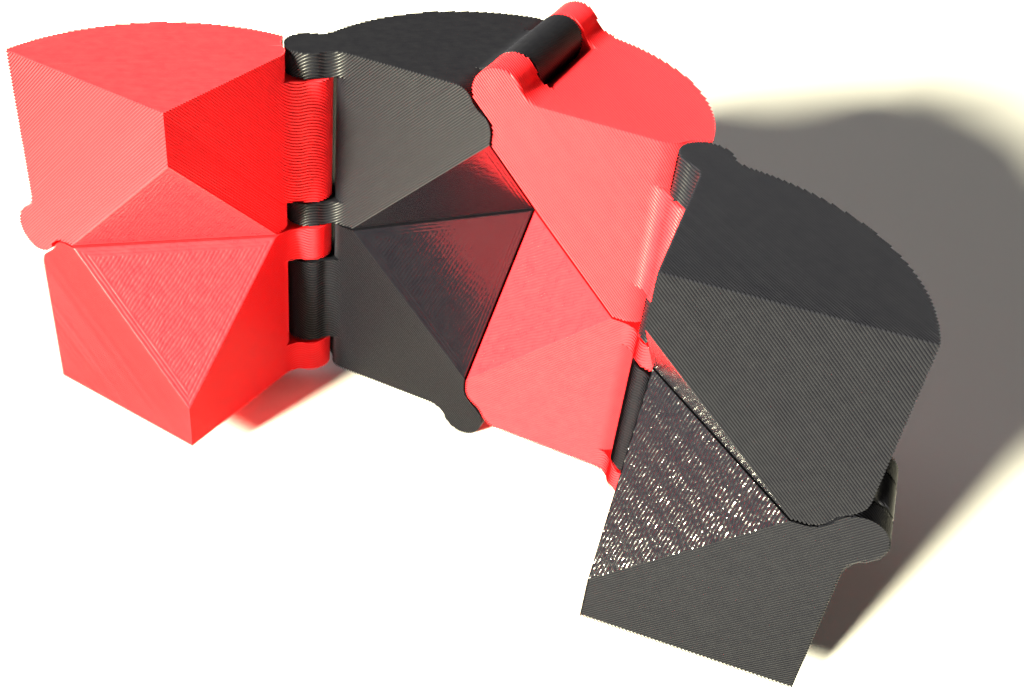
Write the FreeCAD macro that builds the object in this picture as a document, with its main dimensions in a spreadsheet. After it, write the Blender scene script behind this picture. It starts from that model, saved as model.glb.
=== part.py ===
import FreeCAD, Part
import os

# Folding ring puzzle: eight printed quarter-round blocks in two rows of four,
# joined end to end by eight knuckle hinges into one closed ring.
# Closed, the blocks make a cylinder; here the two outer columns are swung open.
# Z is up. X = 0 lies between the two inner columns and Y = 0 is their front plane.
# Z = 0 is the lowest point, the underside of the lower cross hinge.

doc = FreeCAD.newDocument("FoldingRingPuzzle")
sheet = doc.addObject("Spreadsheet::Sheet", "Sizes")

SIZES = [
    ("blockSide", 25.0, "radius of a closed quarter block, edge to hinge axis"),
    ("blockHeight", 24.4, "height of one row"),
    ("facetReach", 18.7, "inner facet: distance from the corner edge along the middle plane"),
    ("facetRise", 18.1, "inner facet: height at which it meets the corner edge"),
    ("lobeRadius", 3.0, "radius of every hinge lobe"),
    ("blendRadius", 3.0, "radius of the hollow blends beside a lobe"),
    ("faceGap", 0.2, "each mating face stands back by this much"),
    ("endGap", 0.4, "gap along the axis between an ear and its knuckle"),
    ("earThin", 3.66, "ear length along the axis, thin eared upright hinges"),
    ("earThick", 5.37, "ear length along the axis, thick eared upright hinges"),
    ("earCross", 5.5, "ear length along the axis, cross hinges"),
    ("earSide", 3.1, "ear length along the axis, side hinges"),
    ("sideHingeLength", 11.5, "length of a side hinge along its axis"),
    ("bossRadius", 1.5, "radius of a hinge boss"),
    ("bossReach", 1.5, "straight length of a boss inside its socket"),
    ("bossTip", 0.6, "length of the tapered end of a boss"),
    ("runningGap", 0.1, "radial gap between a boss and its socket"),
    ("foldLeft", 96.0, "left column, degrees opened from the closed cylinder"),
    ("foldRight", 96.0, "right column, degrees opened from the closed cylinder"),
]

for row, (alias, value, note) in enumerate(SIZES, start=1):
    sheet.set("A%d" % row, alias)
    sheet.set("B%d" % row, str(value))
    sheet.set("C%d" % row, note)
    sheet.setAlias("B%d" % row, alias)
doc.recompute()


def size(alias):
    return float(sheet.get(alias))


def bound(kind, name, **formulas):
    """Add one object and tie its properties to the sheet."""
    item = doc.addObject(kind, name)
    for prop, formula in formulas.items():
        item.setExpression(prop, formula)
    return item


def movedTo(item, x="0", y="0", z="0"):
    """Tie the position of an object to the sheet."""
    for axis, formula in zip("xyz", (x, y, z)):
        item.setExpression("Placement.Base." + axis, formula)
    return item


def fused(name, pieces):
    item = doc.addObject("Part::MultiFuse", name)
    item.Shapes = pieces
    item.Refine = True
    return item


def cutAway(name, base, tool):
    item = doc.addObject("Part::Cut", name)
    item.Base = base
    item.Tool = tool
    item.Refine = True
    return item


def overlapOf(name, first, second):
    item = doc.addObject("Part::MultiCommon", name)
    item.Shapes = [first, second]
    item.Refine = True
    return item


SIDE = "Sizes.blockSide"
TALL = "Sizes.blockHeight"
GAP = "Sizes.faceGap"
LOBE = "Sizes.lobeRadius"
BLEND = "Sizes.blendRadius"
SIDE_LENGTH = "Sizes.sideHingeLength"
ROUND = "(Sizes.blockSide - Sizes.faceGap)"
CENTRES = "(Sizes.lobeRadius + Sizes.blendRadius)"
FACET_REACH = "Sizes.facetReach"
FACET_RISE = "Sizes.facetRise"

# Direction, from the hinge axis, of a blend centre beside a flat face.
FLAT_LEAN = "asin((Sizes.blendRadius - Sizes.faceGap) / %s)" % CENTRES
# The same beside the round outer wall, from the two circles the blend touches.
ROUND_LEAN = ("(acos((pow(%s; 2) + pow(%s; 2) - pow(%s + %s; 2)) / (2 * %s * %s)) - 90 deg)"
              % (CENTRES, SIDE, ROUND, BLEND, SIDE, CENTRES))
# Distance from the hinge axis at which a flat face blend ends.
BLEND_END = "(%s * cos(%s))" % (CENTRES, FLAT_LEAN)
# Bar widths that stop exactly where a blend runs out into its wall.
FLAT_WIDTH = "(%s * cos(%s))" % (BLEND, FLAT_LEAN)
ROUND_WIDTH = "(%s * %s * cos(%s) / (%s + %s))" % (BLEND, SIDE, ROUND_LEAN, ROUND, BLEND)


def rotationTo(xTo, yTo, zTo):
    """Rotation that takes the three axes to the three given directions."""
    columns = FreeCAD.Matrix(xTo[0], yTo[0], zTo[0], 0,
                             xTo[1], yTo[1], zTo[1], 0,
                             xTo[2], yTo[2], zTo[2], 0,
                             0, 0, 0, 1)
    return FreeCAD.Placement(columns).Rotation


# Where each kind of hinge sits on a block. In a hinge's own frame X runs into the
# block along its mating face, Y runs into the block away from it and Z is the axis.
# The block's own frame has its corner edge on Z and the middle plane at Z = 0.
HINGES = {
    "uprightX": {
        "at": (SIDE, "0", TALL), "turn": rotationTo((-1, 0, 0), (0, 1, 0), (0, 0, -1)),
        "length": TALL, "trimStart": GAP, "trimEnd": GAP, "outer": "round",
    },
    "uprightY": {
        "at": ("0", SIDE, "0"), "turn": rotationTo((0, -1, 0), (1, 0, 0), (0, 0, 1)),
        "length": TALL, "trimStart": GAP, "trimEnd": GAP, "outer": "round",
    },
    "crossY": {
        "at": ("0", SIDE, TALL), "turn": rotationTo((0, 0, -1), (1, 0, 0), (0, -1, 0)),
        "length": SIDE, "trimStart": GAP, "trimEnd": GAP, "outer": "flat",
    },
    "crossX": {
        "at": ("0", "0", TALL), "turn": rotationTo((0, 0, -1), (0, 1, 0), (1, 0, 0)),
        "length": SIDE, "trimStart": GAP, "trimEnd": GAP, "outer": "flat",
    },
    "sideX": {
        "at": (SIDE_LENGTH, SIDE, "0"), "turn": rotationTo((0, -1, 0), (0, 0, 1), (-1, 0, 0)),
        "length": SIDE_LENGTH, "trimStart": "0", "trimEnd": GAP, "outer": "patch",
    },
    "sideY": {
        "at": (SIDE, "0", "0"), "turn": rotationTo((-1, 0, 0), (0, 0, 1), (0, 1, 0)),
        "length": SIDE_LENGTH, "trimStart": GAP, "trimEnd": "0", "outer": "patch",
    },
}


def barAt(name, angle, width, length):
    """Bar whose one edge runs from the axis to a blend centre at the given angle."""
    bar = bound("Part::Box", name, Length=CENTRES, Width=width, Height=length)
    bar.Placement.Rotation = FreeCAD.Rotation(FreeCAD.Vector(0, 0, 1), 0)
    bar.setExpression("Placement.Rotation.Angle", angle)
    return bar


def rodAt(name, angle, radius, length):
    """Rod along the axis direction, centred on a blend centre."""
    rod = bound("Part::Cylinder", name, Radius=radius, Height=length)
    return movedTo(rod, "%s * cos(%s)" % (CENTRES, angle), "%s * sin(%s)" % (CENTRES, angle))


def slab(name, start, end):
    """Wide slice of the hinge between two distances along its axis."""
    block = bound("Part::Box", name, Length="2 * " + SIDE, Width="2 * " + SIDE,
                  Height="(%s) - (%s)" % (end, start))
    return movedTo(block, "-" + SIDE, "-" + SIDE, start)


def lobeProfile(name, hinge):
    """Full-length lobe of a hinge with the hollow blends that tie it to the block."""
    length = hinge["length"]
    outerAngle = "90 deg + " + (ROUND_LEAN if hinge["outer"] == "round" else FLAT_LEAN)
    outerWidth = ROUND_WIDTH if hinge["outer"] == "round" else FLAT_WIDTH
    mateAngle = "-" + FLAT_LEAN
    pieces = [
        bound("Part::Cylinder", name + "Lobe", Radius=LOBE, Height=length),
        barAt(name + "MateBar", mateAngle, FLAT_WIDTH, length),
    ]
    # The outer bar is laid out from the blend centre back to the axis, so that its
    # width falls on the block's side.
    outerBar = bound("Part::Box", name + "OuterBar", Length=CENTRES, Width=outerWidth, Height=length)
    outerBar.setExpression("Placement.Rotation.Angle", outerAngle + " + 180 deg")
    movedTo(outerBar, "%s * cos(%s)" % (CENTRES, outerAngle), "%s * sin(%s)" % (CENTRES, outerAngle))
    pieces.append(outerBar)
    if hinge["outer"] == "patch":
        patch = bound("Part::Box", name + "Patch", Length=BLEND_END + " - " + GAP,
                      Width=BLEND_END + " - " + GAP, Height=length)
        pieces.append(movedTo(patch, GAP, GAP))
    hollows = fused(name + "Hollows", [
        rodAt(name + "MateHollow", mateAngle, BLEND, length),
        rodAt(name + "OuterHollow", outerAngle, BLEND, length),
    ])
    return cutAway(name + "Profile", fused(name + "Solid", pieces), hollows)


def clearanceProfile(name, hinge):
    """Space the neighbour's lobe and blends sweep through, with the face gap all round."""
    length = "(%s + 2 * %s)" % (hinge["length"], LOBE)
    opening = "(%s + 2 * %s)" % (LOBE, GAP)
    rounding = "(%s - 2 * %s)" % (BLEND, GAP)
    mateAngle = FLAT_LEAN
    outerAngle = "90 deg - " + (ROUND_LEAN if hinge["outer"] == "round" else FLAT_LEAN)
    mateBar = bound("Part::Box", name + "MateBar", Length=CENTRES, Width=BLEND, Height=length)
    mateBar.setExpression("Placement.Rotation.Angle", mateAngle + " + 180 deg")
    movedTo(mateBar, "%s * cos(%s)" % (CENTRES, mateAngle), "%s * sin(%s)" % (CENTRES, mateAngle))
    pieces = [
        bound("Part::Cylinder", name + "Opening", Radius=opening, Height=length),
        mateBar,
        barAt(name + "OuterBar", outerAngle, BLEND, length),
    ]
    kept = [
        rodAt(name + "MateRound", mateAngle, rounding, length),
        rodAt(name + "OuterRound", outerAngle, rounding, length),
        movedTo(bound("Part::Box", name + "MateKeep", Length=SIDE, Width=SIDE, Height=length),
                BLEND_END, GAP),
    ]
    if hinge["outer"] != "round":
        keep = bound("Part::Box", name + "OuterKeep", Length=SIDE, Width=SIDE, Height=length)
        kept.append(movedTo(keep, GAP, BLEND_END))
    profile = cutAway(name + "Profile", fused(name + "Solid", pieces), fused(name + "Kept", kept))
    return movedTo(profile, z="-" + LOBE)


def placedTool(item, hinge):
    """Put a finished hinge tool at its place on the block."""
    item.Placement = FreeCAD.Placement(FreeCAD.Vector(0, 0, 0), hinge["turn"])
    return movedTo(item, *hinge["at"])


def bossAt(name, start, outward):
    """Boss that stands on an ear at the given distance and points along the axis."""
    radius = "Sizes.bossRadius"
    root = "Sizes.endGap"
    reach = "Sizes.endGap * 2 + Sizes.bossReach"
    shank = bound("Part::Cylinder", name + "Shank", Radius=radius, Height=reach)
    tip = bound("Part::Cone", name + "Tip", Radius1=radius, Radius2=radius + " / 2",
                Height="Sizes.bossTip")
    if outward:
        movedTo(shank, z="(%s) - %s" % (start, root))
        movedTo(tip, z="(%s) - %s + %s" % (start, root, reach))
    else:
        flip = FreeCAD.Rotation(FreeCAD.Vector(1, 0, 0), 180)
        shank.Placement.Rotation = flip
        tip.Placement.Rotation = flip
        movedTo(shank, z="(%s) + %s" % (start, root))
        movedTo(tip, z="(%s) + %s - (%s)" % (start, root, reach))
    return [shank, tip]


def socketAt(name, start, end):
    """Hole for a boss between two distances along the axis."""
    hole = bound("Part::Cylinder", name, Radius="Sizes.bossRadius + Sizes.runningGap",
                 Height="(%s) - (%s)" % (end, start))
    return movedTo(hole, z=start)


def hingeTools(name, kind, ear, part):
    """Solids to add to and to take from a block for one hinge.

    part is "ears" for the block that carries the two outer lobes and "knuckle"
    for the block that carries the middle one. "open ears" have no bosses, so that
    the one pivot at which the ring is opened can come apart sideways.
    """
    hinge = HINGES[kind]
    length = hinge["length"]
    halfGap = "Sizes.endGap / 2"
    nearEar = ear
    farEar = "(%s - %s)" % (length, ear)
    beyond = "(%s + %s)" % (length, LOBE)
    lobes = lobeProfile(name + "Lobe", hinge)
    space = clearanceProfile(name + "Space", hinge)
    socketDepth = "(Sizes.endGap + Sizes.bossReach + 2 * Sizes.bossTip)"
    if part in ("ears", "open ears"):
        ownSlabs = fused(name + "EarSlabs", [
            slab(name + "NearSlab", hinge["trimStart"], "%s - %s" % (nearEar, halfGap)),
            slab(name + "FarSlab", "%s + %s" % (farEar, halfGap), "%s - %s" % (length, hinge["trimEnd"])),
        ])
        freeSlabs = slab(name + "KnuckleSpace", "%s - %s" % (nearEar, halfGap),
                         "%s + %s" % (farEar, halfGap))
        earLobes = overlapOf(name + "EarLobes", lobes, ownSlabs)
        if part == "ears":
            bosses = bossAt(name + "NearBoss", "%s - %s" % (nearEar, halfGap), True)
            bosses += bossAt(name + "FarBoss", "%s + %s" % (farEar, halfGap), False)
            earLobes = fused(name + "Ears", [earLobes] + bosses)
        added = [earLobes]
        taken = [overlapOf(name + "Notch", space, freeSlabs)]
    else:
        knuckleStart = "%s + %s" % (nearEar, halfGap)
        knuckleEnd = "%s - %s" % (farEar, halfGap)
        ownSlabs = slab(name + "KnuckleSlab", knuckleStart, knuckleEnd)
        freeSlabs = fused(name + "EarSpaces", [
            slab(name + "NearSpace", "-" + LOBE, knuckleStart),
            slab(name + "FarSpace", knuckleEnd, beyond),
        ])
        sockets = fused(name + "Sockets", [
            socketAt(name + "NearSocket", "%s - Sizes.endGap" % knuckleStart,
                     "%s + %s" % (knuckleStart, socketDepth)),
            socketAt(name + "FarSocket", "%s - %s" % (knuckleEnd, socketDepth),
                     "%s + Sizes.endGap" % knuckleEnd),
        ])
        added = [cutAway(name + "Knuckle", overlapOf(name + "KnuckleLobe", lobes, ownSlabs), sockets)]
        taken = [overlapOf(name + "Notches", space, freeSlabs), sockets]
    for tool in added:
        placedTool(tool, hinge)
    if part != "knuckle":
        placedTool(taken[0], hinge)
    else:
        # The sockets are shared by the knuckle and by the block behind it.
        both = fused(name + "Taken", taken)
        placedTool(both, hinge)
        taken = [both]
    return added, taken


def blockCore(name):
    """Quarter-round block with its inner corner cut off by the sloping facet."""
    corner = bound("Part::Box", name + "Corner", Length=SIDE, Width=SIDE,
                   Height="%s - 2 * %s" % (TALL, GAP))
    movedTo(corner, GAP, GAP, GAP)
    wall = bound("Part::Cylinder", name + "Wall", Radius=ROUND, Height=TALL)
    facet = bound("Part::Cylinder", name + "FacetCutter", Radius="2 * " + SIDE, Height=SIDE)
    facet.Placement.Rotation = FreeCAD.Rotation(FreeCAD.Vector(-1, 1, 0), 180)
    facet.setExpression("Placement.Rotation.Angle",
                        "180 deg + atan(sqrt(2) * %s / %s)" % (FACET_RISE, FACET_REACH))
    movedTo(facet, FACET_REACH + " / 3", FACET_REACH + " / 3", FACET_RISE + " / 3")
    return cutAway(name + "Core", overlapOf(name + "Quarter", corner, wall), facet)


def block(name, label, hinges):
    """One puzzle block: core, less the hinge notches, plus its own lobes."""
    core = blockCore(name)
    added = []
    taken = []
    for number, (kind, ear, part) in enumerate(hinges, start=1):
        plus, minus = hingeTools("%sHinge%d" % (name, number), kind, ear, part)
        added += plus
        taken += minus
    notched = cutAway(name + "Notched", core, fused(name + "Notches", taken))
    whole = fused(name, [notched] + added)
    whole.Label = label
    return whole


def turnAbout(axisX, angle):
    """Turn about the upright line at X = axisX, Y = 0."""
    centre = FreeCAD.Vector(axisX, 0, 0)
    turn = FreeCAD.Rotation(FreeCAD.Vector(0, 0, 1), angle)
    return FreeCAD.Placement(centre - turn.multVec(centre), turn)


THIN = "Sizes.earThin"
THICK = "Sizes.earThick"
CROSS = "Sizes.earCross"
SIDE_EAR = "Sizes.earSide"

# Hinges of the block designs. Each design is used once in each row, except that the
# upper cross hinge, where the ring is opened, has ears with no bosses.
DESIGNS = {
    "thinPost": [("uprightX", THIN, "knuckle"), ("sideX", SIDE_EAR, "ears")],
    "thinBridge": [("uprightY", THIN, "ears"), ("crossX", CROSS, "knuckle")],
    "thickBridge": [("crossY", CROSS, "ears"), ("uprightX", THICK, "knuckle")],
    "openBridge": [("crossY", CROSS, "open ears"), ("uprightX", THICK, "knuckle")],
    "thickPost": [("uprightY", THICK, "ears"), ("sideY", SIDE_EAR, "knuckle")],
}

# Each block: its name, its design, its quarter of the closed cylinder in degrees
# and the column swing it takes part in. Lower blocks are upper ones turned over.
BLOCKS = [
    ("upper_left_outer_block", "thinPost", 180, "left", "upper"),
    ("upper_left_inner_block", "thinBridge", 90, "fixed", "upper"),
    ("upper_right_inner_block", "openBridge", 0, "fixed", "upper"),
    ("upper_right_outer_block", "thickPost", 270, "right", "upper"),
    ("lower_right_outer_block", "thinPost", 180, "right", "lower"),
    ("lower_right_inner_block", "thinBridge", 90, "fixed", "lower"),
    ("lower_left_inner_block", "thickBridge", 0, "fixed", "lower"),
    ("lower_left_outer_block", "thickPost", 270, "left", "lower"),
]

SWINGS = {
    "left": turnAbout(-size("blockSide"), -size("foldLeft")),
    "right": turnAbout(size("blockSide"), size("foldRight")),
    "fixed": FreeCAD.Placement(),
}
lift = FreeCAD.Placement(FreeCAD.Vector(0, 0, size("blockHeight") + size("lobeRadius")),
                         FreeCAD.Rotation())
turnedOver = FreeCAD.Placement(FreeCAD.Vector(0, 0, 0),
                               FreeCAD.Rotation(FreeCAD.Vector(0, 1, 0), 180))

parts = []
for label, design, quarter, swing, rowName in BLOCKS:
    words = label.split("_")
    name = "".join(word.capitalize() for word in words)
    part = block(name, label, DESIGNS[design])
    place = FreeCAD.Placement(FreeCAD.Vector(0, 0, 0),
                              FreeCAD.Rotation(FreeCAD.Vector(0, 0, 1), quarter))
    if rowName == "lower":
        place = turnedOver.multiply(place)
    part.Placement = lift.multiply(SWINGS[swing]).multiply(place)
    parts.append(part)

doc.recompute()

for item in doc.Objects:
    if "Invalid" in item.State or "Error" in item.State:
        raise RuntimeError("%s did not build: %s" % (item.Label, item.State))
for part in parts:
    if part.Shape.isNull() or not part.Shape.isValid() or len(part.Shape.Solids) != 1:
        raise RuntimeError("%s is not one valid solid" % part.Label)

os.makedirs("parts", exist_ok=True)
for part in parts:
    part.Shape.exportStep("parts/%s.step" % part.Label)
    bounds = part.Shape.BoundBox
    print("%s volume %.1f box %.2f %.2f %.2f to %.2f %.2f %.2f faces %d" % (
        part.Label, part.Shape.Volume, bounds.XMin, bounds.YMin, bounds.ZMin,
        bounds.XMax, bounds.YMax, bounds.ZMax, len(part.Shape.Faces)))
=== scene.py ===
from math import cos, radians, sin

import bpy
import numpy as np
from mathutils import Matrix, Vector


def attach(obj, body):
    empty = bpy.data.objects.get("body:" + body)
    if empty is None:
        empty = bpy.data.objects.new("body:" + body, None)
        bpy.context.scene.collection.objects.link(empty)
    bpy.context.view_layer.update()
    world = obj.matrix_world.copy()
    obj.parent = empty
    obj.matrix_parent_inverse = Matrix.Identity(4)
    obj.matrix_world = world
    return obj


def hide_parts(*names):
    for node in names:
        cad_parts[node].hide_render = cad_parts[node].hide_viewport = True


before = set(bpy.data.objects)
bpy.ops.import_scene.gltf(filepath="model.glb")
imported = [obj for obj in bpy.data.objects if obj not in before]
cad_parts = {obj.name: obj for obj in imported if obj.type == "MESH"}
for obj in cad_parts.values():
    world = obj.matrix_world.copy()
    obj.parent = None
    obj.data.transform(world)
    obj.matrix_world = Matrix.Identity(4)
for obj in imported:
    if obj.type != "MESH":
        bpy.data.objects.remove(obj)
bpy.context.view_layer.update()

print("frame loaded")

mm = 0.001

# Corner points closer than this, in metres, are one point.
weldGap = 2e-7

# How the blocks were printed. Lengths are in millimetres. The mitre and corner values
# are lengths of the sum of two unit normals, which is 2 where an outline is straight.
printing = {
    "layerHeight": 0.248,
    "layerWander": 0.005,
    "wanderCarried": 0.6,
    "topTrim": 0.02,
    "flatShare": 0.4,
    "mitreLeast": 1.1,
    "cornerFrom": 1.93,
    "cornerSpan": 0.4,
    "cornerBulge": 0.06,
    "coreInset": 0.13,
    "coreEase": 0.02,
    "coreReach": 2.2,
}

# The two sizes of a block that the sloping facet depends on, in millimetres.
facet = {"reach": 18.7, "rise": 18.1}

# Each block: its finish, the quarter it fills in the closed cylinder, its swing in
# degrees, how deep the lines of its facet are, the way they run, how many follow the
# facet's edges, and how deep in millimetres its layers' edges are rounded.
blocks = {
    "upper_left_outer_block": {"finish": "red_plastic", "quarter": (-1, -1, 1), "swing": -96,
                               "lineDepth": 0.035, "lineAngle": 24, "edgeLines": 2,
                               "beadRound": 0.066},
    "upper_left_inner_block": {"finish": "black_plastic", "quarter": (-1, 1, 1), "swing": 0,
                               "lineDepth": 0.030, "lineAngle": 16, "edgeLines": 2,
                               "beadRound": 0.050},
    "upper_right_inner_block": {"finish": "red_plastic", "quarter": (1, 1, 1), "swing": 0,
                                "lineDepth": 0.030, "lineAngle": 53, "edgeLines": 2,
                                "beadRound": 0.050},
    "upper_right_outer_block": {"finish": "black_plastic", "quarter": (1, -1, 1), "swing": 96,
                                "lineDepth": 0.030, "lineAngle": 12, "edgeLines": 2,
                                "beadRound": 0.026},
    "lower_left_outer_block": {"finish": "red_plastic", "quarter": (-1, -1, -1), "swing": -96,
                               "lineDepth": 0.070, "lineAngle": 39, "edgeLines": 3,
                               "beadRound": 0.050},
    "lower_left_inner_block": {"finish": "black_plastic", "quarter": (-1, 1, -1), "swing": 0,
                               "lineDepth": 0.035, "lineAngle": 44, "edgeLines": 3,
                               "beadRound": 0.050},
    "lower_right_inner_block": {"finish": "red_plastic", "quarter": (1, 1, -1), "swing": 0,
                                "lineDepth": 0.035, "lineAngle": 40, "edgeLines": 1,
                                "beadRound": 0.050},
    "lower_right_outer_block": {"finish": "black_plastic", "quarter": (1, -1, -1), "swing": 96,
                                "lineDepth": 0.125, "lineAngle": 163, "edgeLines": 0,
                                "beadRound": 0.042},
}


# Each row divided by its own length.
def unit(rows):
    return rows / np.maximum(np.linalg.norm(rows, axis=-1, keepdims=True), 1e-12)


# Direction the layers stack in: away from the facet, turned with the block's swing.
def stackDirection(block):
    x, y, z = block["quarter"]
    lean = np.array([x / facet["reach"], y / facet["reach"], z / facet["rise"]])
    turn = radians(block["swing"])
    lean = np.array([cos(turn) * lean[0] - sin(turn) * lean[1],
                     sin(turn) * lean[0] + cos(turn) * lean[1], lean[2]])
    return unit(lean)


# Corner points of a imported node, welded where they coincide, and its triangles.
def weldedNode(node):
    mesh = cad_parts[node].data
    points = np.empty(len(mesh.vertices) * 3)
    mesh.vertices.foreach_get("co", points)
    points = points.reshape(-1, 3)
    mesh.calc_loop_triangles()
    triangles = np.empty(len(mesh.loop_triangles) * 3, dtype=np.int64)
    mesh.loop_triangles.foreach_get("vertices", triangles)
    triangles = triangles.reshape(-1, 3)
    keys, first, welded = np.unique(np.round(points / weldGap).astype(np.int64), axis=0,
                                    return_index=True, return_inverse=True)
    triangles = welded.reshape(-1)[triangles]
    real = ((triangles[:, 0] != triangles[:, 1]) & (triangles[:, 1] != triangles[:, 2])
            & (triangles[:, 2] != triangles[:, 0]))
    return points[first], triangles[real]


# Outlines of a solid at the given heights. Every edge that crosses a height gives one
# outline point, and every triangle that crosses it joins two of them.
def outlines(points, triangles, up, heights):
    along = points @ up
    pairs = np.sort(triangles[:, [[0, 1], [1, 2], [2, 0]]].reshape(-1, 2), axis=1)
    edges, edgeOf = np.unique(pairs, axis=0, return_inverse=True)
    edgeOf = edgeOf.reshape(-1, 3)
    above = along[:, None] > heights[None, :]
    crossed = above[edges[:, 0]] != above[edges[:, 1]]
    number = np.full(crossed.shape, -1, dtype=np.int64)
    number[crossed] = np.arange(crossed.sum())
    edge, layer = np.nonzero(crossed)
    low, high = edges[edge, 0], edges[edge, 1]
    part = (heights[layer] - along[low]) / (along[high] - along[low])
    spots = points[low] + (points[high] - points[low]) * part[:, None]
    met = crossed[edgeOf]
    triangle, height = np.nonzero(met.any(axis=1))
    met = met[triangle, :, height]
    start = number[edgeOf[triangle, met.argmax(axis=1)], height]
    end = number[edgeOf[triangle, 2 - met[:, ::-1].argmax(axis=1)], height]
    sides = points[triangles[triangle]]
    facing = np.cross(sides[:, 1] - sides[:, 0], sides[:, 2] - sides[:, 0])
    outward = unit(facing - (facing @ up)[:, None] * up)
    turned = np.einsum("ij,ij->i", spots[end] - spots[start], np.cross(up, outward)) < 0
    start[turned], end[turned] = end[turned], start[turned].copy()
    return spots, layer, start, end, outward


# Stack of beads: the outline of each layer carries the section of one squeezed bead,
# flat in the middle of its outside and sloping in towards the layers above and below.
def layerStack(points, triangles, up, deep, seed):
    height = printing["layerHeight"] * mm
    along = points @ up
    count = int((along.max() - along.min()) / height) + 1
    levels = along.min() + height * (np.arange(count) + 0.5)
    levels[-1] = min(levels[-1], along.max() - printing["topTrim"] * mm)
    spots, layer, start, end, outward = outlines(points, triangles, up, levels)
    lean = np.zeros_like(spots)
    np.add.at(lean, start, outward)
    np.add.at(lean, end, outward)
    spread = np.linalg.norm(lean, axis=1)
    mitre = lean * (2 / np.maximum(spread, printing["mitreLeast"])[:, None] ** 2)
    sharp = np.clip((printing["cornerFrom"] - spread) / printing["cornerSpan"], 0, 1)
    chance = np.random.default_rng(seed)
    wander = chance.normal(0, printing["layerWander"], count)
    wander = (wander + np.roll(wander, 1) * printing["wanderCarried"])[layer] * mm
    bulge = sharp * printing["cornerBulge"] * mm * chance.uniform(0.2, 1.0, len(spots))
    half = printing["layerHeight"] / 2
    flat = half * printing["flatShare"]
    section = np.array([(deep, -half), (0.0, -flat), (0.0, flat), (deep, half)]) * mm
    rows = len(section)
    inset = section[:, 0][:, None] + (wander - bulge)[None, :]
    beads = spots[None] - mitre[None] * inset[:, :, None] + up * section[:, 1][:, None, None]
    row = np.arange(rows)[:, None] * len(spots)
    after = np.roll(np.arange(rows), -1)[:, None] * len(spots)
    quads = np.stack([row + start, row + end, after + end, after + start], axis=-1)
    tint = np.tile(layer.astype(float), rows)
    return beads.reshape(-1, 3), quads.reshape(-1, 4), tint


# Inner body: each point goes in until it lies one inset behind every face it belongs
# to, as near as least squares over those faces can bring it.
def innerBody(points, triangles):
    sides = points[triangles]
    facing = unit(np.cross(sides[:, 1] - sides[:, 0], sides[:, 2] - sides[:, 0]))
    grip = np.zeros((len(points), 3, 3)) + np.eye(3) * printing["coreEase"]
    pull = np.zeros_like(points)
    for corner in range(3):
        np.add.at(grip, triangles[:, corner], facing[:, :, None] * facing[:, None, :])
        np.add.at(pull, triangles[:, corner], facing)
    shift = np.linalg.solve(grip, pull[:, :, None])[:, :, 0]
    length = np.maximum(np.linalg.norm(shift, axis=1), 1)
    shift *= np.minimum(1, printing["coreReach"] / length)[:, None]
    return points - shift * printing["coreInset"] * mm


# Lines printed on the facets. Lengths are in millimetres and waves are in radians per
# millimetre. The depths, spreads and fray are shares of a block's own line depth.
facetLines = {
    "steps": 220,
    "width": 0.46,
    "sway": 0.05,
    "roundness": 2.4,
    "leastDepth": 0.15,
    "levels": 400,
    "levelSpread": 0.3,
    "edgeSpread": 0.2,
    "fray": 0.5,
    "unevenness": 0.45,
    "lowest": -0.3,
    "highest": 1.2,
    "sheetThickness": 0.25,
    "backShare": 0.97,
    "cornerReach": 0.02,
    "swayWaves": (1.7, 2.3),
    "edgeWave": 2.2,
    "frayWaves": (4.3, 1.9),
    "frayOffsets": (37, 15),
}


# The three corners of the facet: of the points at the lowest layer, the one farthest
# from the middle, the one farthest from that, and the one farthest from both.
def facetCorners(points, up):
    along = points @ up
    low = points[along < along.min() + facetLines["cornerReach"] * mm]
    first = low[np.linalg.norm(low - low.mean(axis=0), axis=1).argmax()]
    second = low[np.linalg.norm(low - first, axis=1).argmax()]
    line = unit(second - first)
    off = low - first
    off = off - (off @ line)[:, None] * line
    third = low[np.linalg.norm(off, axis=1).argmax()]
    return np.array([first, second, third])


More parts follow.
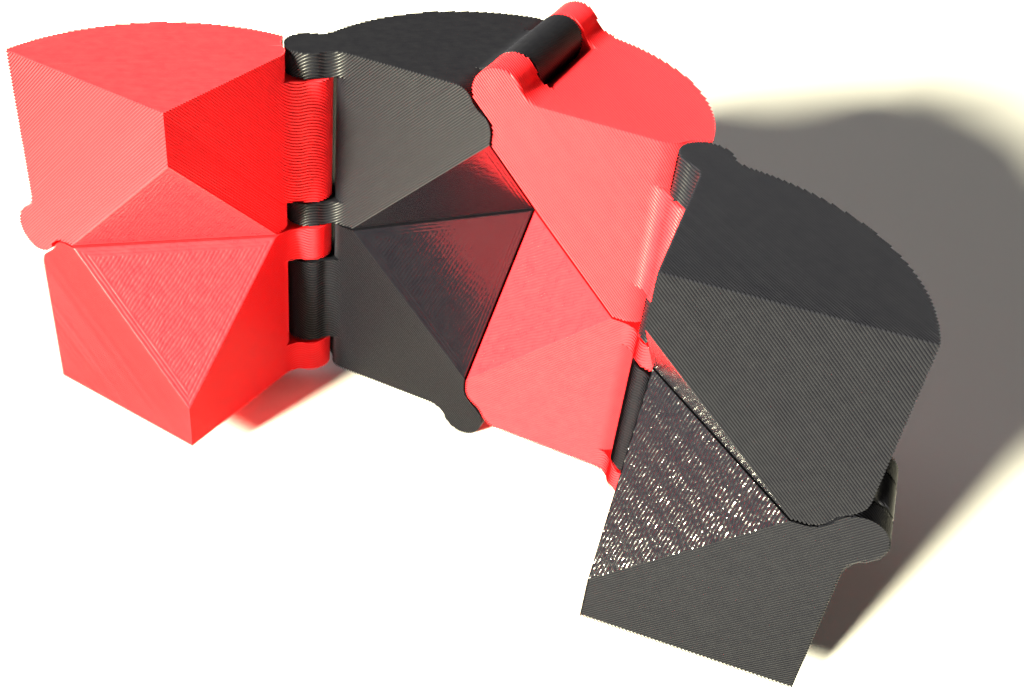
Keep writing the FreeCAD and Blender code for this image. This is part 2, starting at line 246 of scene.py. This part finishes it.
# First layer on the facet: a triangle grid whose depth follows the printed lines, a few
# along the edges and parallel strokes between them, each line round across its width.
def facetSheet(corners, up, block, seed):
    steps = facetLines["steps"]
    i, j = np.meshgrid(np.arange(steps + 1), np.arange(steps + 1), indexing="ij")
    keep = i + j <= steps
    number = np.full(i.shape, -1, dtype=np.int64)
    number[keep] = np.arange(keep.sum())
    share = np.stack([steps - i[keep] - j[keep], i[keep], j[keep]], axis=1) / steps
    flat = share @ corners
    opposite = np.roll(corners, -1, axis=0) - np.roll(corners, -2, axis=0)
    area = np.linalg.norm(np.cross(corners[1] - corners[0], corners[2] - corners[0]))
    reach = share * (area / np.linalg.norm(opposite, axis=1))[None, :]
    edge = reach.min(axis=1) / mm
    across = unit(corners[1] - corners[0])
    upward = np.cross(up, across)
    x = (flat - corners[0]) @ across / mm
    y = (flat - corners[0]) @ upward / mm
    turn = radians(block["lineAngle"])
    width = facetLines["width"]
    waveX, waveY = facetLines["swayWaves"]
    sway = (facetLines["sway"] * np.sin(x * waveX + seed)
            + facetLines["sway"] * np.sin(y * waveY + seed * 2))
    stroke = (x * cos(turn) + y * sin(turn) + sway) / width
    border = block["edgeLines"] * width
    phase = np.where(edge < border, edge / width, stroke)
    chance = np.random.default_rng(seed)
    heights = chance.normal(0, facetLines["levelSpread"], facetLines["levels"])
    level = heights[np.floor(stroke).astype(int) % facetLines["levels"]]
    edgeLevel = facetLines["edgeSpread"] * np.sin(np.floor(edge / width) * facetLines["edgeWave"])
    level = np.where(edge < border, edgeLevel, level)
    dip = np.abs(2 * (phase - np.floor(phase)) - 1) ** facetLines["roundness"]
    along = y * cos(turn) - x * sin(turn)
    shortWave, longWave = facetLines["frayWaves"]
    shortOffset, longOffset = facetLines["frayOffsets"]
    fray = (facetLines["fray"] * np.sin(along * shortWave + level * shortOffset)
            * np.sin(along * longWave + level * longOffset + seed))
    uneven = np.clip(level + fray, facetLines["lowest"], facetLines["highest"])
    depth = block["lineDepth"] * (facetLines["leastDepth"] + dip + facetLines["unevenness"] * uneven)
    raised = flat + up * (depth * mm)[:, None]
    a, b, c = number[:-1, :-1], number[1:, :-1], number[:-1, 1:]
    d = number[1:, 1:]
    first = np.stack([a, b, c], axis=-1)[(a >= 0) & (b >= 0) & (c >= 0)]
    second = np.stack([b, d, c], axis=-1)[(b >= 0) & (c >= 0) & (d >= 0)]
    faces = np.concatenate([first, second])
    rim = np.concatenate([number[:, 0], number[::-1, :].diagonal()[1:], number[0, ::-1][1:-1]])
    back = flat[rim] + up * facetLines["sheetThickness"] * mm
    middle = flat.mean(axis=0)
    back = middle + (back - middle) * facetLines["backShare"]
    under = len(raised) + np.arange(len(rim))
    sides = np.stack([rim, under, np.roll(under, -1), np.roll(rim, -1)], axis=-1)
    outside = np.cross(corners[1] - corners[0], corners[2] - corners[0]) @ up
    if outside > 0:
        faces, sides = faces[:, ::-1], sides[:, ::-1]
        closing = under
    else:
        closing = under[::-1]
    return np.concatenate([raised, back]), faces, sides, closing


# Mesh object from a list of points and groups of faces, each group with its own number
# of corners. Edges that bend more than the sharp angle, in degrees, are shaded sharp.
def meshObject(name, points, faceGroups, sharpAngle):
    mesh = bpy.data.meshes.new(name)
    loops = np.concatenate([group.reshape(-1) for group in faceGroups])
    counts = np.concatenate([np.full(len(group), group.shape[1]) for group in faceGroups])
    starts = np.concatenate([[0], np.cumsum(counts)[:-1]])
    mesh.vertices.add(len(points))
    mesh.vertices.foreach_set("co", points.reshape(-1).astype(np.float32))
    mesh.loops.add(len(loops))
    mesh.loops.foreach_set("vertex_index", loops.astype(np.int32))
    mesh.polygons.add(len(counts))
    mesh.polygons.foreach_set("loop_start", starts.astype(np.int32))
    mesh.update(calc_edges=True)
    mesh.validate()
    mesh.polygons.foreach_set("use_smooth", np.ones(len(mesh.polygons), dtype=bool))
    mesh.set_sharp_from_angle(angle=radians(sharpAngle))
    piece = bpy.data.objects.new(name, mesh)
    bpy.context.scene.collection.objects.link(piece)
    return piece


# Finishes: two tones, the range of roughness, the depth of the fine grain and how much
# clear gloss lies on top. The faces printed against the bed are the glossier ones.
plastics = {
    "red_plastic": {"light": (0.88, 0.024, 0.034), "dark": (0.82, 0.019, 0.029),
                    "rough": (0.44, 0.60), "bedRough": (0.22, 0.36), "grain": 0.30, "gloss": 0.04},
    "black_plastic": {"light": (0.0085, 0.0088, 0.0130), "dark": (0.0064, 0.0066, 0.0105),
                      "rough": (0.44, 0.50), "bedRough": (0.13, 0.19), "grain": 0.26, "gloss": 0.05},
}


# What both plastics share. Scales are per metre and the ripple height is in metres.
grainLook = {
    "mottleScale": 800,
    "mottleDetail": 5,
    "layerShare": 0.16,
    "toneFrom": 0.35,
    "toneTo": 0.8,
    "rippleScale": 1600,
    "rippleDetail": 3,
    "rippleHeight": 0.00004,
    "refraction": 1.46,
    "coatRoughness": 0.18,
    "layerShine": 0.26,
    "bedShine": 0.42,
    "bedGloss": 3,
}


# Printed plastic: a mottled colour and gloss, a slightly different tone in every layer
# and fine ripples in its surface.
def plasticMaterial(name, finish, rough, shine, gloss):
    material = bpy.data.materials.new(name)
    material.use_nodes = True
    nodes, links = material.node_tree.nodes, material.node_tree.links
    shader = nodes["Principled BSDF"]
    place = nodes.new("ShaderNodeTexCoord")
    mottle = nodes.new("ShaderNodeTexNoise")
    mottle.inputs["Scale"].default_value = grainLook["mottleScale"]
    mottle.inputs["Detail"].default_value = grainLook["mottleDetail"]
    links.new(place.outputs["Object"], mottle.inputs["Vector"])
    layer = nodes.new("ShaderNodeAttribute")
    layer.attribute_name = "layer"
    perLayer = nodes.new("ShaderNodeTexWhiteNoise")
    perLayer.noise_dimensions = "1D"
    links.new(layer.outputs["Fac"], perLayer.inputs["W"])
    blend = nodes.new("ShaderNodeMath")
    blend.operation = "MULTIPLY_ADD"
    blend.inputs[1].default_value = grainLook["layerShare"]
    links.new(perLayer.outputs["Value"], blend.inputs[0])
    links.new(mottle.outputs["Fac"], blend.inputs[2])
    tone = nodes.new("ShaderNodeMapRange")
    tone.inputs["From Min"].default_value = grainLook["toneFrom"]
    tone.inputs["From Max"].default_value = grainLook["toneTo"]
    links.new(blend.outputs["Value"], tone.inputs["Value"])
    colour = nodes.new("ShaderNodeMix")
    colour.data_type = "RGBA"
    colour.inputs["A"].default_value = (*finish["dark"], 1)
    colour.inputs["B"].default_value = (*finish["light"], 1)
    links.new(tone.outputs["Result"], colour.inputs["Factor"])
    links.new(colour.outputs["Result"], shader.inputs["Base Color"])
    dull = nodes.new("ShaderNodeMapRange")
    dull.inputs["To Min"].default_value = rough[0]
    dull.inputs["To Max"].default_value = rough[1]
    links.new(mottle.outputs["Fac"], dull.inputs["Value"])
    links.new(dull.outputs["Result"], shader.inputs["Roughness"])
    ripple = nodes.new("ShaderNodeTexNoise")
    ripple.inputs["Scale"].default_value = grainLook["rippleScale"]
    ripple.inputs["Detail"].default_value = grainLook["rippleDetail"]
    links.new(place.outputs["Object"], ripple.inputs["Vector"])
    bump = nodes.new("ShaderNodeBump")
    bump.inputs["Strength"].default_value = finish["grain"]
    bump.inputs["Distance"].default_value = grainLook["rippleHeight"]
    links.new(ripple.outputs["Fac"], bump.inputs["Height"])
    links.new(bump.outputs["Normal"], shader.inputs["Normal"])
    shader.inputs["IOR"].default_value = grainLook["refraction"]
    shader.inputs["Specular IOR Level"].default_value = shine
    shader.inputs["Coat Weight"].default_value = gloss
    shader.inputs["Coat Roughness"].default_value = grainLook["coatRoughness"]
    return material


layerMaterials = {
    name: plasticMaterial(name + "_layers", finish, finish["rough"], grainLook["layerShine"],
                          finish["gloss"])
    for name, finish in plastics.items()
}
bedMaterials = {
    name: plasticMaterial(name + "_bed", finish, finish["bedRough"], grainLook["bedShine"],
                          finish["gloss"] * grainLook["bedGloss"])
    for name, finish in plastics.items()
}

# Bends sharper than these, in degrees, are shaded as edges.
sharpAngles = {"layers": 40, "facet": 60, "floor": 30}

for seed, (node, block) in enumerate(blocks.items(), start=11):
    body = node.replace("_block", "")
    up = stackDirection(block)
    points, triangles = weldedNode(node)
    beads, quads, layer = layerStack(points, triangles, up, block["beadRound"], seed)
    core = innerBody(points, triangles)
    whole = np.concatenate([beads, core])
    shell = meshObject(node + "_layers", whole, [quads, triangles + len(beads)],
                       sharpAngles["layers"])
    tint = shell.data.attributes.new("layer", "FLOAT", "POINT")
    layerNumbers = np.concatenate([layer, np.zeros(len(core))])
    tint.data.foreach_set("value", layerNumbers.astype(np.float32))
    corners = facetCorners(points, up)
    raised, faces, sides, closing = facetSheet(corners, up, block, seed)
    face = meshObject(node + "_facet", raised, [faces, sides, closing[None, :]],
                      sharpAngles["facet"])
    for piece, material in ((shell, layerMaterials), (face, bedMaterials)):
        piece.data.materials.append(material[block["finish"]])
        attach(piece, body)
    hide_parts(node)
    print("printed", node, len(quads), "bead faces", len(faces), "facet faces")


# Floor and light. Lengths are in metres, and the grain's scale is per metre.
studio = {
    "floorSize": 16.0,
    "floorSquares": 8,
    "floorColour": (0.90, 0.89, 0.87),
    "floorRoughness": 0.9,
    "grainScale": 900,
    "grainStrength": 0.08,
    "grainHeight": 0.0001,
    "lightsFace": (0, 0, 0.025),
    "worldColour": (1.0, 0.92, 0.82),
    "worldStrength": 0.105,
    "key": {"at": (-0.72, -2.16, 0.80), "size": 0.36, "power": 560.0,
            "colour": (1.0, 0.95, 0.68)},
    "fill": {"at": (-0.75, 0.10, 0.45), "size": 0.5, "power": 1.6,
             "colour": (0.95, 0.97, 1.0)},
}


# Floor: a wide square grid with a faint paper grain in its finish.
def studioFloor(look):
    lines = look["floorSquares"] + 1
    side = np.linspace(-look["floorSize"] / 2, look["floorSize"] / 2, lines)
    x, y = np.meshgrid(side, side, indexing="ij")
    points = np.stack([x, y, np.zeros_like(x)], axis=-1).reshape(-1, 3)
    number = np.arange(lines * lines).reshape(lines, lines)
    quads = np.stack([number[:-1, :-1], number[1:, :-1], number[1:, 1:], number[:-1, 1:]], axis=-1)
    floor = meshObject("floor", points, [quads.reshape(-1, 4)], sharpAngles["floor"])
    material = bpy.data.materials.new("paper")
    material.use_nodes = True
    nodes, links = material.node_tree.nodes, material.node_tree.links
    shader = nodes["Principled BSDF"]
    place = nodes.new("ShaderNodeTexCoord")
    grain = nodes.new("ShaderNodeTexNoise")
    grain.inputs["Scale"].default_value = look["grainScale"]
    links.new(place.outputs["Object"], grain.inputs["Vector"])
    bump = nodes.new("ShaderNodeBump")
    bump.inputs["Strength"].default_value = look["grainStrength"]
    bump.inputs["Distance"].default_value = look["grainHeight"]
    links.new(grain.outputs["Fac"], bump.inputs["Height"])
    links.new(bump.outputs["Normal"], shader.inputs["Normal"])
    shader.inputs["Base Color"].default_value = (*look["floorColour"], 1)
    shader.inputs["Roughness"].default_value = look["floorRoughness"]
    floor.data.materials.append(material)
    return floor


# Round area light that faces the middle of the puzzle.
def softLight(name, look, target):
    lamp = bpy.data.lights.new(name, "AREA")
    lamp.shape = "DISK"
    lamp.size = look["size"]
    lamp.energy = look["power"]
    lamp.color = look["colour"]
    light = bpy.data.objects.new(name, lamp)
    light.location = look["at"]
    towards = Vector(target) - Vector(look["at"])
    light.rotation_euler = towards.to_track_quat("-Z", "Y").to_euler()
    bpy.context.scene.collection.objects.link(light)


floor = studioFloor(studio)
for name in ("key", "fill"):
    softLight(name, studio[name], studio["lightsFace"])
world = bpy.data.worlds.new("studio")
world.use_nodes = True
background = world.node_tree.nodes["Background"]
background.inputs["Color"].default_value = (*studio["worldColour"], 1)
background.inputs["Strength"].default_value = studio["worldStrength"]
bpy.context.scene.world = world
bpy.context.scene.view_settings.view_transform = "Standard"
print("floor and light set")

# Camera: where it stands in metres, its three turns in degrees, and its lens and sensor
# in millimetres. Nothing nearer than "nearest", in metres, is drawn.
view = {
    "at": (0.046275, -0.11302, 0.108474),
    "azimuth": -24.9035,
    "elevation": 38.776,
    "roll": 4.5076,
    "lens": 40.329,
    "shift": (0.08576, 0.02428),
    "sensor": 36,
    "nearest": 0.005,
}


# Camera frame: looks along the azimuth, tipped down by the elevation, rolled last.
def placeCamera(look):
    around = radians(look["azimuth"])
    down = radians(look["elevation"])
    roll = radians(look["roll"])
    ahead = Vector((sin(around) * cos(down), cos(around) * cos(down), -sin(down)))
    right = ahead.cross(Vector((0, 0, 1))).normalized()
    above = right.cross(ahead)
    rolledRight = right * cos(roll) + above * sin(roll)
    rolledUp = above * cos(roll) - right * sin(roll)
    data = bpy.data.cameras.new("camera")
    data.lens = look["lens"]
    data.sensor_width = look["sensor"]
    data.clip_start = look["nearest"]
    data.shift_x, data.shift_y = look["shift"]
    camera = bpy.data.objects.new("camera", data)
    turn = Matrix((rolledRight, rolledUp, -ahead)).transposed().to_4x4()
    camera.matrix_world = Matrix.Translation(look["at"]) @ turn
    bpy.context.scene.collection.objects.link(camera)
    bpy.context.scene.camera = camera


placeCamera(view)
print("camera set")
